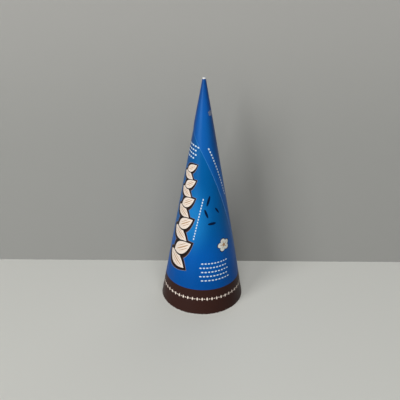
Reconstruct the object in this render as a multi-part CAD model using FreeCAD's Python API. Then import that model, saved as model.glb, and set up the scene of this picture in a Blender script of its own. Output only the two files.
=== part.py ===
import FreeCAD, Part
import math
import os

# Cone paper cup: the printed sleeve that an ice-cream cone is sold in, stood on its mouth.
# It is one die-cut sheet of coated paper, rolled up, lapped over itself and glued.
# The origin is the centre of the mouth, which it rests on, and the tip points up, +Z.
# A turn is an angle round the axis, in degrees from the front, -Y, growing towards +X.

# The cone
mouth_diameter = 54.0
apex_height = 144.0  # where the outer faces would meet
tip_bore = 0.5  # the pinhole left in the middle of the rolled tip
paper_thickness = 0.3

# The sheet's outer edge is the seam that shows. It is cut straight on the flat sheet, so it
# climbs round the cone from the mouth to a corner behind the tip, then runs on to the tip.
seam_from_apex = 21.0  # how near the straight cut would pass to the apex of the flat sheet
seam_turn_at_mouth = 99.0
corner_turn = -150.0

# The sheet's inner edge is hidden inside and runs straight from the mouth to the tip.
lap_at_mouth = 8.0  # width of the glued lap, round the mouth
settling_at_mouth = 7.0  # length in which the upper layer comes down off the inner edge

mouth_radius = mouth_diameter / 2
slant_length = math.hypot(mouth_radius, apex_height)
flat_share = mouth_radius / slant_length  # a turn on the flat sheet for each turn on the cone
level_thickness = paper_thickness * slant_length / apex_height  # the sloping wall, cut level
tip_radius = tip_bore / 2 + level_thickness
tip_height = apex_height * (1 - tip_radius / mouth_radius)

# On the flat sheet, the direction from the apex that meets the straight cut squarely
cut_swing = math.acos(seam_from_apex / slant_length)
square_to_cut = math.radians(seam_turn_at_mouth * flat_share) - cut_swing

inner_edge_turn = seam_turn_at_mouth + math.degrees(lap_at_mouth / mouth_radius)
settled_turn = inner_edge_turn + math.degrees(settling_at_mouth / mouth_radius)
axis = FreeCAD.Vector(0, 0, 1)
mouth_centre = FreeCAD.Vector(0, 0, 0)


def place(radius, turn, height):
    """A point by its distance from the axis, its turn and its height."""
    angle = math.radians(turn)
    return FreeCAD.Vector(radius * math.sin(angle), -radius * math.cos(angle), height)


def bore_radius(height):
    """The inner face of the sheet where it lies in one layer."""
    return mouth_radius * (1 - height / apex_height) - level_thickness


def layer(lift, first_turn, last_turn):
    """One layer of the wall, lifted off the bore and swept round the axis between two turns."""
    corners = [
        place(bore_radius(0) + lift, first_turn, 0),
        place(bore_radius(0) + lift + level_thickness, first_turn, 0),
        place(bore_radius(tip_height) + lift + level_thickness, first_turn, tip_height),
        place(bore_radius(tip_height) + lift, first_turn, tip_height),
    ]
    profile = Part.Face(Part.makePolygon(corners + corners[:1]))
    return profile.revolve(mouth_centre, axis, last_turn - first_turn)


def settling_section(height):
    """The level section of the stretch in which the upper layer comes down by its thickness."""
    middle_turn = (inner_edge_turn + settled_turn) / 2
    inner_arc = [
        place(bore_radius(height) + level_thickness, inner_edge_turn, height),
        place(bore_radius(height) + level_thickness / 2, middle_turn, height),
        place(bore_radius(height), settled_turn, height),
    ]
    outer_arc = [
        place(bore_radius(height) + level_thickness, settled_turn, height),
        place(bore_radius(height) + level_thickness * 3 / 2, middle_turn, height),
        place(bore_radius(height) + level_thickness * 2, inner_edge_turn, height),
    ]
    return Part.Wire(
        [
            Part.Arc(*inner_arc).toShape(),
            Part.LineSegment(inner_arc[-1], outer_arc[0]).toShape(),
            Part.Arc(*outer_arc).toShape(),
            Part.LineSegment(outer_arc[-1], inner_arc[0]).toShape(),
        ]
    )


def seam_height(turn):
    """How high the straight cut stands at a turn, once the sheet is rolled up."""
    reach = seam_from_apex / math.cos(math.radians(turn * flat_share) - square_to_cut)
    return apex_height * (1 - reach / slant_length)


def seam_curve(lift):
    """The seam's climb round the cone, drawn at a lift off the bore and a little past both ends."""
    overrun_turn = math.degrees(level_thickness / mouth_radius)
    first = seam_turn_at_mouth + overrun_turn
    last = corner_turn - overrun_turn
    stations = range(31)
    turns = [first + (last - first) * station / stations[-1] for station in stations]
    heights = [seam_height(turn) for turn in turns]
    points = [place(bore_radius(z) + lift, turn, z) for turn, z in zip(turns, heights)]
    curve = Part.BSplineCurve()
    curve.interpolate(Points=points, Parameters=list(stations))
    return Part.Wire([curve.toShape()])


def above_the_seam(upper_layer):
    """The upper layer as it is left once a cut has gone through it along the seam."""
    cut = Part.makeLoft([seam_curve(0), seam_curve(3 * level_thickness)], False, True)
    halves = upper_layer.generalFuse([cut])[0].Solids
    return max(halves, key=lambda half: half.CenterOfMass.z)


def rolled_sheet():
    """The whole sheet: its under layer, the stretch that settles, and the lapped upper layer."""
    under_layer = layer(0, settled_turn, inner_edge_turn + 360)
    settling = Part.makeLoft([settling_section(0), settling_section(tip_height)], True, True)
    upper_layer = above_the_seam(layer(level_thickness, corner_turn, inner_edge_turn))
    return under_layer.fuse([settling, upper_layer]).removeSplitter()


os.makedirs("parts", exist_ok=True)
sheet = rolled_sheet()
sheet.exportStep("parts/paper_cone.step")
print(f"paper_cone: {len(sheet.Solids)} solid, valid {sheet.isValid()}, {sheet.Volume:.1f} cubic mm")
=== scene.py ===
import math

import bmesh
import bpy
from mathutils import Matrix, Vector


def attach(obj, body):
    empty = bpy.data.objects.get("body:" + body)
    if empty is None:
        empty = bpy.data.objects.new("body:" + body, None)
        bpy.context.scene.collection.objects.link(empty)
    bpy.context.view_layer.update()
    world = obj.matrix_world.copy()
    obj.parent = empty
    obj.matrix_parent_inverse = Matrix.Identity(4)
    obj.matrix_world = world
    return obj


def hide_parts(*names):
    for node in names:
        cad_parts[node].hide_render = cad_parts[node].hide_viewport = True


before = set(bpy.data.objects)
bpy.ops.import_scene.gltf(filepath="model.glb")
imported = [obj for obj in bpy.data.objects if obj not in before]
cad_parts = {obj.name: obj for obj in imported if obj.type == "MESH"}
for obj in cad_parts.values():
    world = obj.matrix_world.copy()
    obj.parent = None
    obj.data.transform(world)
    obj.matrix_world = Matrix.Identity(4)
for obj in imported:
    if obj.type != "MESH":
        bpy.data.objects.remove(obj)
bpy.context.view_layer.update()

# The blank: one sheet of white paper, coated and printed on its outside, die-cut with a round
# mouth, a short round tip, two edges that run straight to the tip, and one long straight cut
# that shows as the seam once the sheet is rolled. It is drawn flat, with the apex at the origin.
MOUTH_RADIUS = 0.027
APEX_HEIGHT = 0.144
TIP_BORE = 0.0005
PAPER_THICKNESS = 0.0003
SEAM_FROM_APEX = 0.021
SEAM_TURN_AT_MOUTH = 99.0
CORNER_TURN = -150.0
LAP_AT_MOUTH = 0.008
SETTLING_AT_MOUTH = 0.007
COLUMNS = 250
ROWS = 36
CREASE_INSETS = (0.0005, 0.0012, 0.0024)  # where the pressed strip along the seam bends

slant = math.hypot(MOUTH_RADIUS, APEX_HEIGHT)
flat_share = MOUTH_RADIUS / slant
level_thickness = PAPER_THICKNESS * slant / APEX_HEIGHT
tip_reach = slant * (TIP_BORE / 2 + level_thickness) / MOUTH_RADIUS
inner_edge_turn = SEAM_TURN_AT_MOUTH + math.degrees(LAP_AT_MOUTH / MOUTH_RADIUS)
settled_turn = inner_edge_turn + math.degrees(SETTLING_AT_MOUTH / MOUTH_RADIUS)


def on_blank(reach, turn):
    """A point of the flat sheet, by its distance from the apex and its turn once rolled up."""
    swing = math.radians(turn * flat_share)
    return Vector((reach * math.sin(swing), -reach * math.cos(swing), 0))


blank = bmesh.new()
first_edge = [blank.verts.new(on_blank(reach, CORNER_TURN)) for reach in (tip_reach, slant)]
blank.edges.new(first_edge)
bmesh.ops.subdivide_edges(blank, edges=blank.edges[:], cuts=ROWS - 1)
bmesh.ops.spin(
    blank,
    geom=blank.verts[:] + blank.edges[:],
    cent=(0, 0, 0),
    axis=(0, 0, 1),
    angle=math.radians((inner_edge_turn + 360 - CORNER_TURN) * flat_share),
    steps=COLUMNS,
)
cut_swing = math.degrees(math.acos(SEAM_FROM_APEX / slant)) / flat_share
square_to_cut = on_blank(1, SEAM_TURN_AT_MOUTH - cut_swing)
for inset in (0, *CREASE_INSETS):
    bmesh.ops.bisect_plane(
        blank,
        geom=blank.verts[:] + blank.edges[:] + blank.faces[:],
        dist=1e-6,
        plane_co=square_to_cut * (SEAM_FROM_APEX - inset),
        plane_no=square_to_cut,
        clear_outer=inset == 0,
    )
printed_side = bmesh.ops.extrude_face_region(blank, geom=blank.faces[:])["geom"]
bmesh.ops.translate(
    blank,
    verts=[part for part in printed_side if isinstance(part, bmesh.types.BMVert)],
    vec=(0, 0, PAPER_THICKNESS),
)
bmesh.ops.recalc_face_normals(blank, faces=blank.faces[:])

# The two sides and the cut edges are told apart while the sheet is flat, and its flat places are
# kept for the print, in lengths of the slant. A second map lays the sides and edges out apart.
PRINTED, PLAIN, CUT = range(3)
FAN_MIDDLE_TURN = 288.0
PRINTED_PLACE = Vector((0.5, 0.93))
PRINTED_SCALE = 0.85
PLAIN_PLACE = Vector((0.825, 0.99))
PLAIN_SCALE = 0.28
CELLS_PLACE = Vector((0.01, 0.70))
CELLS_IN_COLUMN = 34
CELL = 0.0085

sheet_map = blank.loops.layers.uv.new("sheet")
laid_out_map = blank.loops.layers.uv.new("OFBake")
upright = Matrix.Rotation(math.radians(-FAN_MIDDLE_TURN * flat_share), 2)
cut_faces = 0
for face in blank.faces:
    face.smooth = True
    face.material_index = PRINTED if face.normal.z > 0.5 else PLAIN if face.normal.z < -0.5 else CUT
    cell = CELLS_PLACE + CELL * Vector(divmod(cut_faces, CELLS_IN_COLUMN))
    cut_faces += face.material_index == CUT
    for number, loop in enumerate(face.loops):
        flat = loop.vert.co.xy / slant
        loop[sheet_map].uv = flat
        if face.material_index == PRINTED:
            loop[laid_out_map].uv = PRINTED_PLACE + PRINTED_SCALE * (upright @ flat)
        elif face.material_index == PLAIN:
            loop[laid_out_map].uv = PLAIN_PLACE + PLAIN_SCALE * (upright @ flat)
        else:
            loop[laid_out_map].uv = cell + 0.7 * CELL * Vector((number in (1, 2), number > 1))
for edge in blank.edges:
    edge.smooth = len({face.material_index for face in edge.link_faces}) == 1

# Rolling it up: the sheet is wound on a steel cone, the seam side last, so that it lies over the
# rest and is glued down, and a roller presses its edge thin. Past the hidden inner edge the
# upper layer settles onto the bore, and the paper keeps a faint unevenness from the winding.
PRESSED_BY = 0.00013
PRESSED_REACH = 0.0008
UNEVENNESS = 0.00005


def rolled_up(place):
    """Where a point of the flat sheet lies once the sheet is rolled into the cone."""
    reach = math.hypot(place.x, place.y)
    turn = math.degrees(math.atan2(place.x, -place.y)) / flat_share
    height = APEX_HEIGHT * (1 - reach / slant)
    settled = (turn - inner_edge_turn) / (settled_turn - inner_edge_turn)
    settled = min(max(settled, 0), 1)
    lift = level_thickness * (1 - settled * settled * (3 - 2 * settled))
    waves = math.sin(math.radians(turn) * 3 + 0.4) + math.sin(math.radians(turn) * 7 + reach * 40)
    lift += UNEVENNESS * reach / slant * (waves / 2 - 1)
    radius = MOUTH_RADIUS * reach / slant - level_thickness + lift
    if place.z > 0:
        from_seam = SEAM_FROM_APEX - place.dot(square_to_cut)
        radius += level_thickness - PRESSED_BY * math.exp(-from_seam / PRESSED_REACH)
    return Vector((radius * math.sin(math.radians(turn)), -radius * math.cos(math.radians(turn)), height))


for corner in blank.verts:
    corner.co = rolled_up(corner.co)
paper = bpy.data.objects.new("paper_cone_sheet", bpy.data.meshes.new("paper_cone_sheet"))
blank.to_mesh(paper.data)
blank.free()
bpy.context.collection.objects.link(paper)
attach(paper, "root")
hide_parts("paper_cone")

# The print on its outside: fields of blue, a chocolate band round the mouth and plain shapes in
# cream, white and navy, run off flat before the die cuts the sheet, then coated with satin. Its
# shapes are in millimetres. The front's drawing has the apex at its origin, the front line down.
SATIN_ROUGHNESS = 0.34
SATIN_STRENGTH = 0.2
SATIN_TINT = (0.5, 0.82, 1, 1)


def paint(red, green, blue):
    """A colour as it looks on a screen, 0 to 255, in the linear values that shaders take."""
    shares = [value / 255 for value in (red, green, blue)]
    return [share / 12.92 if share < 0.04 else ((share + 0.055) / 1.055) ** 2.4 for share in shares] + [1]


def new_finish(name):
    """A material, and a function that adds shader nodes to it and feeds them their inputs."""
    finish = bpy.data.materials.new(name)
    finish.use_nodes = True
    tree = finish.node_tree

    def add(kind, inputs, output=0, **settings):
        node = tree.nodes.new(kind)
        for setting, value in settings.items():
            setattr(node, setting, value)
        for number, value in inputs.items():
            if isinstance(value, bpy.types.NodeSocket):
                tree.links.new(value, node.inputs[number])
            else:
                node.inputs[number].default_value = value
        return node.outputs[output]

    return finish, add


def give(finish, **inputs):
    """Sets the surface's own inputs, by name, from values or from outputs of its nodes."""
    surface = finish.node_tree.nodes["Principled BSDF"]
    for name, value in inputs.items():
        socket = surface.inputs[name.replace("_", " ")]
        if isinstance(value, bpy.types.NodeSocket):
            finish.node_tree.links.new(value, socket)
        else:
            socket.default_value = value


printed, add = new_finish("satin_printed_paper")


def maths(operation, *values):
    return add("ShaderNodeMath", dict(enumerate(values)), operation=operation)


def eased(value, low, high):
    """0 up to low and 1 from high on, with eased ends."""
    return add("ShaderNodeMapRange", {0: value, 1: low, 2: high}, interpolation_type="SMOOTHSTEP")


def closer(distance, limit):
    return maths("LESS_THAN", maths("ABSOLUTE", distance), limit)


def laid_over(field, ink, mask):
    """Ink laid over what is printed so far, as far as the mask is 1."""
    return add("ShaderNodeMix", {0: mask, 6: field, 7: ink}, output=2, data_type="RGBA")


def sides_of(coordinate):
    """A coordinate's numbers across and up."""
    across = add("ShaderNodeSeparateXYZ", {0: coordinate})
    return across, across.node.outputs[1]


def within(drawing, place, half_size, tilt=0.0):
    """The drawing's coordinate within a shape at a place, where its sides are 1 from the middle."""
    turned = (0, 0, math.radians(tilt))
    inputs = {0: drawing, 1: (*place, 0), 2: turned, 3: (*half_size, 1)}
    return add("ShaderNodeMapping", inputs, vector_type="TEXTURE")


def from_middle(coordinate):
    """How far out a point is in an oval, with 1 at its edge."""
    return add("ShaderNodeVectorMath", {0: coordinate}, output=1, operation="LENGTH")


def from_almond_middle(coordinate):
    """How far out a point is in an almond, pointed at both ends and fuller at one."""
    along, across = sides_of(coordinate)
    fuller = maths("MAXIMUM", maths("MULTIPLY_ADD", along, 0.28, 1.0), 0.5)
    width = maths("MULTIPLY", maths("ABSOLUTE", across), fuller)
    return maths("MULTIPLY_ADD", along, along, width)


def from_nearest(value, first, pitch, count):
    """How far a value is from the nearest of so many even steps, and which step that is."""
    step = maths("ROUND", maths("DIVIDE", maths("SUBTRACT", value, first), pitch))
    step = maths("MINIMUM", maths("MAXIMUM", step, 0.0), count - 1.0)
    return maths("SUBTRACT", value, maths("MULTIPLY_ADD", step, pitch, first)), step


def grains(drawing, place, count, grain, tilt=0.0, rows=1, row_pitch=1.0):
    """Rows of so many plain grains, set between each other like bricks, the first about a place."""
    along, up = sides_of(within(drawing, place, (1, 1), tilt))
    off_row, row = from_nearest(up, 0.0, -row_pitch, rows)
    pitch = GRAIN_PITCH * grain[0]
    shifted = maths("MULTIPLY_ADD", maths("PINGPONG", row, 1.0), pitch / 2, along)
    off_grain, _ = from_nearest(shifted, pitch * (1 - count) / 2, pitch, count)
    off_middle = add("ShaderNodeCombineXYZ", {0: off_grain, 1: off_row})
    return closer(from_middle(within(off_middle, (0, 0), grain)), 1.0)


millimetres = slant * 1000
flat_place = add("ShaderNodeUVMap", {}, uv_map="sheet")
sheet = add("ShaderNodeMapping", {0: flat_place, 3: (millimetres, millimetres, 1)})
reach = from_middle(sheet)
sheet_across, sheet_up = sides_of(sheet)
sheet_swing = maths("ARCTAN2", sheet_across, maths("MULTIPLY", sheet_up, -1.0))
swing = maths("SUBTRACT", sheet_swing, math.radians(360 * flat_share))
side_swing, _ = from_nearest(swing, 0.0, math.radians(-180 * flat_share), 2)
drawing_across = maths("MULTIPLY", reach, maths("SINE", side_swing))
drawing_down = maths("MULTIPLY", reach, maths("COSINE", side_swing))
drawing = add("ShaderNodeCombineXYZ", {0: drawing_across, 1: maths("MULTIPLY", drawing_down, -1.0)})

# The ground is a dark blue at the tip, bright below it, teal in the middle and deep blue below,
# and painted shade darkens it towards the sides in its upper third.
TIP_BLUE = paint(12, 70, 142)
BLUES_BELOW = (  # each takes over from the one above it between two reaches
    (paint(14, 89, 176), 4.0, 28.0),
    (paint(0, 92, 160), 20.0, 34.0),
    (paint(0, 88, 173), 84.0, 112.0),
    (paint(0, 78, 156), 108.0, 128.0),
)
SEAM_BLUE = paint(15, 94, 174)
SEAM_BLUE_WIDTHS = (3.0, 22.0)
# Painted shade: a dull dark blue that stands in for the flanks being turned from the light.
PAINTED_SIDE_SHADE = paint(34, 62, 118)
PAINTED_SIDE_SHADE_STRENGTH = 0.8
PAINTED_SIDE_SHADE_TURNS = (12.0, 85.0)
PAINTED_SIDE_SHADE_REACHES = (62.0, 38.0)
ground = TIP_BLUE
for blue, from_reach, to_reach in BLUES_BELOW:
    ground = laid_over(ground, blue, eased(reach, from_reach, to_reach))
seam_toward = (square_to_cut.x, square_to_cut.y, 0)
toward_seam = add("ShaderNodeVectorMath", {0: sheet, 1: seam_toward}, output=1, operation="DOT_PRODUCT")
from_seam = maths("SUBTRACT", SEAM_FROM_APEX * 1000, toward_seam)
field = laid_over(SEAM_BLUE, ground, eased(from_seam, *SEAM_BLUE_WIDTHS))
# Painted shade, laid over the ground towards the sides, front and back alike, in the upper third.
from_front = maths("PINGPONG", sheet_swing, math.radians(90 * flat_share))
painted_shade_by_turn = eased(from_front, *(math.radians(turn * flat_share) for turn in PAINTED_SIDE_SHADE_TURNS))
painted_side_shade = maths("MULTIPLY", painted_shade_by_turn, eased(reach, *PAINTED_SIDE_SHADE_REACHES))
field = laid_over(field, PAINTED_SIDE_SHADE, maths("MULTIPLY", painted_side_shade, PAINTED_SIDE_SHADE_STRENGTH))

# A plait of cream almonds, edged in dark chocolate, climbs the left of each side. Each almond is
# smaller than the one below it by the same share, and every second one lies over its neighbours.
PLAIT_TURN = -47.0
FIRST_ALMOND_REACH = 113.5
LAST_ALMOND_REACH = 54.5
ALMONDS = 10
ALMOND_HALF_SIZE = (0.071, 0.037)  # in shares of its reach
ALMOND_LEAN = 30.0
ALMOND_SIDESTEP = 0.017
ALMOND_EDGE = 1.25
ALMOND_RIDGES = ((0.0, 0.09), (-0.40, 0.05), (0.40, 0.05))  # middles and half widths
CHOCOLATE = paint(56, 31, 24)
DARK_CHOCOLATE = paint(26, 14, 11)
KEYLINE = paint(120, 128, 150)
PLAIT_EDGES = ((KEYLINE, 1.70), (CHOCOLATE, 1.61), (DARK_CHOCOLATE, 1.36))
GLOW = paint(22, 123, 195)
GLOW_PLACE = (-6.5, -85.0)
GLOW_HALF_SIZE = (14.0, 27.0)
CREAM = paint(240, 224, 210)
TAN = paint(186, 146, 104)

climb = maths("LOGARITHM", reach, math.e)
first_climb = math.log(FIRST_ALMOND_REACH)
climb_pitch = math.log(LAST_ALMOND_REACH / FIRST_ALMOND_REACH) / (ALMONDS - 1)
from_plait = maths("SUBTRACT", side_swing, math.radians(PLAIT_TURN * flat_share))
almonds = []
for side, first in ((-1, first_climb), (1, first_climb + climb_pitch)):
    off_almond, _ = from_nearest(climb, first, 2 * climb_pitch, ALMONDS / 2)
    off_place = add("ShaderNodeCombineXYZ", {0: from_plait, 1: maths("MULTIPLY", off_almond, -1.0)})
    sidestep = (side * ALMOND_SIDESTEP, 0)
    almond = within(off_place, sidestep, ALMOND_HALF_SIZE, side * ALMOND_LEAN)
    ridges = 0.0
    for middle, half_width in ALMOND_RIDGES:
        ridge = within(almond, (0.04, middle), (0.70 - abs(middle) * 0.5, half_width))
        ridges = maths("MAXIMUM", ridges, closer(from_middle(ridge), 1.0))
    almonds.append((from_almond_middle(almond), ridges))
nearest = maths("MINIMUM", almonds[0][0], almonds[1][0])
from_glow = from_middle(within(drawing, GLOW_PLACE, GLOW_HALF_SIZE))
field = laid_over(field, GLOW, maths("SUBTRACT", 1.0, eased(from_glow, 0.1, 1.0)))
for ink, limit in PLAIT_EDGES:
    field = laid_over(field, ink, closer(nearest, limit))
for from_almond, ridges in almonds:
    field = laid_over(field, DARK_CHOCOLATE, closer(from_almond, ALMOND_EDGE))
    field = laid_over(field, CREAM, closer(from_almond, 1.0))
    field = laid_over(field, TAN, maths("MULTIPLY", ridges, closer(from_almond, 1.0)))

# Navy sprinkles and an almond blossom lie loose on the blue, in flat inks like the plait, and a
# small grey blossom is by the tip.
NAVY = paint(3, 22, 58)
SPRINKLES = (
    ((3.2, -73.6), (0.75, 3.3), -16.0),
    ((2.0, -81.4), (0.7, 2.9), 22.0),
    ((5.6, -87.6), (2.6, 0.85), 8.0),
    ((9.0, -79.6), (0.6, 2.2), 40.0),
)
BLOSSOM_WHITE = paint(236, 236, 226)
BLOSSOM_PLACE = (14.3, -102.0)
BLOSSOM_HALF_SIZE = (4.6, 4.0)
BLOSSOM_TILT = 18.0
BLOSSOM_EDGE = 1.14
SMALL_BLOSSOM_PLACE = (4.0, -22.4)
SMALL_BLOSSOM_HALF_SIZE = (1.7, 1.7)


def blossom(coordinate):
    """How far out a point is in a blossom of five petals, and where its middle and veins are."""
    across, up = sides_of(coordinate)
    fifths = maths("MULTIPLY", maths("ARCTAN2", across, up), 2.5)
    petal = maths("POWER", maths("ABSOLUTE", maths("COSINE", fifths)), 0.6)
    out = from_middle(coordinate)
    on_vein = closer(maths("MULTIPLY", maths("SINE", fifths), out), 0.09)
    veins = maths("MULTIPLY", on_vein, closer(out, 0.58))
    middle = maths("MAXIMUM", veins, closer(out, 0.24))
    return maths("DIVIDE", out, maths("MULTIPLY_ADD", petal, 0.4, 0.6)), middle


for place, half_size, tilt in SPRINKLES:
    field = laid_over(field, NAVY, closer(from_middle(within(drawing, place, half_size, tilt)), 1.0))
out, middle = blossom(within(drawing, BLOSSOM_PLACE, BLOSSOM_HALF_SIZE, BLOSSOM_TILT))
edge = closer(out, BLOSSOM_EDGE)
for ink, mask in ((NAVY, edge), (BLOSSOM_WHITE, closer(out, 1.0)), (TAN, middle)):
    field = laid_over(field, ink, mask)
out, _ = blossom(within(sheet, SMALL_BLOSSOM_PLACE, SMALL_BLOSSOM_HALF_SIZE))
field = laid_over(field, KEYLINE, closer(out, 1.0))

# Rows of small pale grains run along the seam, beside the plait and above the band. Where rows
# lie together, each is shifted by half a grain from the next.
PALE = paint(214, 232, 242)
GRAIN_PITCH = 2.9  # in half lengths of a grain
LOWER_ROWS_REACH = 115.0  # where the lower rows' places round the cone are in millimetres
SEAM_ROW_INSET = 4.6
SEAM_ROW_ALONG = 55.0
upper_rows = grains(drawing, (-6.6, -40.6), 5, (0.66, 0.46), tilt=-22.0, rows=4, row_pitch=2.3)
slanting_row = grains(drawing, (-2.8, -85.0), 15, (0.62, 0.36), tilt=77.0)
by_swing = add("ShaderNodeCombineXYZ", {0: maths("MULTIPLY", side_swing, LOWER_ROWS_REACH), 1: reach})
lower_rows = grains(by_swing, (8.2, 124.0), 9, (0.72, 0.42), rows=5, row_pitch=2.75)
seam_row_place = (
    square_to_cut.x * (SEAM_FROM_APEX * 1000 - SEAM_ROW_INSET) - square_to_cut.y * SEAM_ROW_ALONG,
    square_to_cut.y * (SEAM_FROM_APEX * 1000 - SEAM_ROW_INSET) + square_to_cut.x * SEAM_ROW_ALONG,
)
seam_row_tilt = math.degrees(math.atan2(square_to_cut.x, -square_to_cut.y))
seam_row = grains(sheet, seam_row_place, 17, (0.66, 0.44), tilt=seam_row_tilt)
for rows in (upper_rows, slanting_row, lower_rows, seam_row):
    field = laid_over(field, PALE, rows)

# The chocolate band runs all round the mouth. It carries a row of cream lozenges with a dot
# between every two, in the inks of the plait.
BAND_FROM_REACH = 0.888 * millimetres
LOZENGE_REACH = 0.930 * millimetres
LOZENGE_PITCH = 3.1
LOZENGE_HALF_SIZE = (0.72, 1.2)
DOT_HALF_SIZE = 0.34
field = laid_over(field, CHOCOLATE, maths("GREATER_THAN", reach, BAND_FROM_REACH))
places_round = maths("MULTIPLY", swing, LOZENGE_REACH / LOZENGE_PITCH)
from_lozenge = maths("MULTIPLY", maths("PINGPONG", places_round, 0.5), LOZENGE_PITCH)
from_dot = maths("SUBTRACT", LOZENGE_PITCH / 2, from_lozenge)
from_row = maths("ABSOLUTE", maths("SUBTRACT", reach, LOZENGE_REACH))
aside = maths("DIVIDE", from_lozenge, LOZENGE_HALF_SIZE[0])
lozenges = closer(maths("ADD", aside, maths("DIVIDE", from_row, LOZENGE_HALF_SIZE[1])), 1.0)
dots = closer(maths("ADD", from_dot, from_row), DOT_HALF_SIZE * 1.3)
field = laid_over(field, CREAM, maths("MAXIMUM", lozenges, dots))

# The tip is worn back to white paper, the ink is chipped in places along the mouth and rubbed
# thin along the seam, and the satin coat shows the paper's faint fibre.
WORN_REACH = 3.9
WORN_RAGGEDNESS = 0.8
CHIPS_DEPTH = 0.1
CHIPS_RAGGEDNESS = 1.4
CHIPS_STRENGTH = 0.5
MOTTLE = 0.26
RUBBED_WIDTH = 0.4
RUBBED_BLUE = paint(60, 138, 205)
BARE_PAPER = paint(232, 230, 224)
speckle = add("ShaderNodeTexNoise", {0: sheet, 2: 1.6, 3: 3.0})
worn = maths("MULTIPLY_ADD", speckle, WORN_RAGGEDNESS, WORN_REACH - WORN_RAGGEDNESS / 2)
field = laid_over(field, BARE_PAPER, maths("LESS_THAN", reach, worn))
from_mouth = maths("SUBTRACT", millimetres, reach)
chipped = maths("MULTIPLY_ADD", speckle, CHIPS_RAGGEDNESS, CHIPS_DEPTH - CHIPS_RAGGEDNESS / 2)
chips = maths("LESS_THAN", from_mouth, chipped)
field = laid_over(field, BARE_PAPER, maths("MULTIPLY", chips, CHIPS_STRENGTH))
rubbed = maths("LESS_THAN", from_seam, RUBBED_WIDTH)
rubbed = maths("MULTIPLY", rubbed, maths("LESS_THAN", reach, BAND_FROM_REACH))
field = laid_over(field, RUBBED_BLUE, maths("MULTIPLY", rubbed, speckle))
mottle = maths("MULTIPLY_ADD", speckle, MOTTLE, 1 - MOTTLE / 2)
ink = add("ShaderNodeVectorMath", {0: field, 3: mottle}, operation="SCALE")
fibre = add("ShaderNodeTexNoise", {0: sheet, 2: 3.5, 3: 4.0, 4: 0.6})
round_roll = maths("MULTIPLY", swing, 26.0)
up_roll = maths("MULTIPLY", reach, 0.02)
rolling = add("ShaderNodeCombineXYZ", {0: round_roll, 1: up_roll})
ripples = add("ShaderNodeTexNoise", {0: rolling, 2: 1.0, 3: 2.0})
surface_height = maths("MULTIPLY_ADD", ripples, 8.0, fibre)
uneven = add("ShaderNodeBump", {0: 0.35, 1: 0.00002, 3: surface_height})
give(
    printed,
    Base_Color=ink,
    Roughness=maths("MULTIPLY_ADD", fibre, 0.14, SATIN_ROUGHNESS - 0.07),
    Specular_IOR_Level=SATIN_STRENGTH,
    Specular_Tint=SATIN_TINT,
    Normal=uneven,
)
paper.data.materials.append(printed)

# The inside of the cone is the sheet's other side: bare white paper, neither coated nor printed,
# with its fibre in plain view.
INSIDE_WHITE = paint(234, 232, 226)
INSIDE_SHADE = paint(222, 219, 211)
inside, add = new_finish("bare_paper_inside")
flat_place = add("ShaderNodeUVMap", {}, uv_map="sheet")
cloudy = add("ShaderNodeTexNoise", {0: flat_place, 2: 90.0, 3: 6.0, 4: 0.65})
felted = add("ShaderNodeTexNoise", {0: flat_place, 2: 420.0, 3: 3.0})
give(
    inside,
    Base_Color=laid_over(INSIDE_SHADE, INSIDE_WHITE, cloudy),
    Roughness=0.85,
    Specular_IOR_Level=0.2,
    Normal=add("ShaderNodeBump", {0: 0.4, 1: 0.00004, 3: felted}),
)
paper.data.materials.append(inside)

# The cut edges are the paper's own core, left by the die's steel rule. They are greyed by
# handling, and tinted blue, or brown in the band, where ink was dragged over them.
EDGE_GREY = paint(150, 172, 200)
EDGE_BLUE = paint(70, 116, 176)
EDGE_CREAM = paint(196, 184, 168)
EDGE_BROWN = paint(118, 94, 80)
edges, add = new_finish("cut_paper_edge")
flat_place = add("ShaderNodeUVMap", {}, uv_map="sheet")
dragged = add("ShaderNodeTexNoise", {0: flat_place, 2: 160.0, 3: 4.0})
by_blue = laid_over(EDGE_GREY, EDGE_BLUE, dragged)
by_band = laid_over(EDGE_CREAM, EDGE_BROWN, dragged)
in_band = maths("GREATER_THAN", from_middle(flat_place), BAND_FROM_REACH / millimetres)
give(edges, Base_Color=laid_over(by_blue, by_band, in_band), Roughness=0.9, Specular_IOR_Level=0.2)
paper.data.materials.append(edges)

# The room for the picture is a pale floor and a grey wall close behind, with painted light making the
# wall lighter towards its top. Only the camera and reflections see the wall, and it has no back, so it
# hides nothing when seen from behind.
FLOOR_GREY = paint(218, 218, 211)
FLOOR_BOUNCE = paint(165, 165, 160)
WALL_GREY = paint(158, 158, 154)
# Painted light: the wall's colour near its top, lighter as if lit from above.
WALL_TOP_PAINTED_LIGHT = paint(168, 167, 163)
WALL_PAINTED_LIGHT_HEIGHTS = (0.08, 0.2)
WALL_FROM_AXIS = 0.037
ROOM_HALF_SIZE = 1.5
floor_finish, add = new_finish("floor")
from_camera = add("ShaderNodeLightPath", {})
shade = laid_over(FLOOR_BOUNCE, FLOOR_GREY, from_camera)
give(floor_finish, Base_Color=shade, Roughness=0.85, Specular_IOR_Level=0.2)

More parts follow.
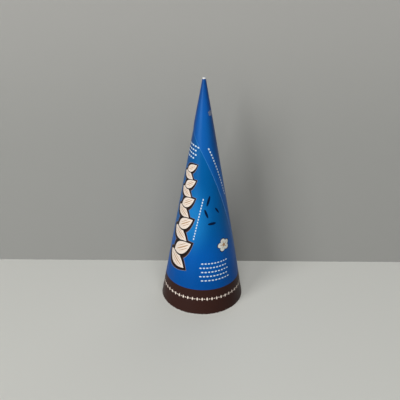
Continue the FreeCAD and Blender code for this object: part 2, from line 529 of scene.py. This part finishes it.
wall_finish, add = new_finish("wall")
wall_place = add("ShaderNodeTexCoord", {}, output=3)
wall_height = add("ShaderNodeSeparateXYZ", {0: wall_place}, output=2)
# Painted light: the wall turns lighter between these heights, as light from above would make it.
shade = laid_over(WALL_GREY, WALL_TOP_PAINTED_LIGHT, eased(wall_height, *WALL_PAINTED_LIGHT_HEIGHTS))
give(wall_finish, Base_Color=shade, Roughness=0.9, Specular_IOR_Level=0.2)
from_camera = add("ShaderNodeLightPath", {})
seen = maths("MAXIMUM", from_camera, from_camera.node.outputs["Is Glossy Ray"])
from_behind = add("ShaderNodeNewGeometry", {}, output=6)
shown = maths("MULTIPLY", seen, maths("SUBTRACT", 1.0, from_behind))
wall_surface = wall_finish.node_tree.nodes["Principled BSDF"].outputs[0]
nothing = add("ShaderNodeBsdfTransparent", {})
wall_output = wall_finish.node_tree.nodes["Material Output"]
wall_or_nothing = add("ShaderNodeMixShader", {0: shown, 1: nothing, 2: wall_surface})
wall_finish.node_tree.links.new(wall_or_nothing, wall_output.inputs[0])

for name, finish, place, tilt in (
    ("floor", floor_finish, (0, 0, 0), 0.0),
    ("wall", wall_finish, (0, WALL_FROM_AXIS, 0), math.pi / 2),
):
    board = bmesh.new()
    bmesh.ops.create_grid(board, x_segments=1, y_segments=1, size=ROOM_HALF_SIZE)
    stands = Matrix.Translation(place) @ Matrix.Rotation(tilt, 4, "X")
    bmesh.ops.transform(board, matrix=stands, verts=board.verts)
    plane = bpy.data.objects.new(name, bpy.data.meshes.new(name))
    board.to_mesh(plane.data)
    board.free()
    plane.data.materials.append(finish)
    bpy.context.collection.objects.link(plane)

# A soft lamp stands to the left with a fainter one below it, a wide one hangs over the camera,
# and one behind lights the far side. The camera looks down a little, as a seated person would.
for name, place, size, power in (
    ("key", (-1.13, -1.1, 0.72), 0.7, 15.2),
    ("low", (-0.8, -1.27, 0.06), 0.4, 1.2),
    ("overhead", (0.1, -1.1, 1.25), 1.3, 15.5),
    ("behind", (0.6, 1.4, 1.0), 1.4, 4.0),
):
    lamp = bpy.data.objects.new(name, bpy.data.lights.new(name, "AREA"))
    lamp.data.size = size
    lamp.data.energy = power
    lamp.location = place
    lamp.rotation_euler = (Vector((0, 0, 0.07)) - lamp.location).to_track_quat("-Z", "Y").to_euler()
    bpy.context.collection.objects.link(lamp)
world = bpy.data.worlds.new("studio")
world.use_nodes = True
world.node_tree.nodes["Background"].inputs[0].default_value = (0.97, 0.98, 1, 1)
world.node_tree.nodes["Background"].inputs[1].default_value = 0.10
bpy.context.scene.world = world

camera = bpy.data.objects.new("camera", bpy.data.cameras.new("camera"))
camera.data.lens = 38.97
camera.location = (-0.00183, -0.24762, 0.17454)
looking = Matrix.Rotation(math.radians(66.45), 4, "X") @ Matrix.Rotation(math.radians(0.42), 4, "Z")
camera.rotation_euler = looking.to_euler()
bpy.context.collection.objects.link(camera)
bpy.context.scene.camera = camera
bpy.context.scene.view_settings.view_transform = "Standard"
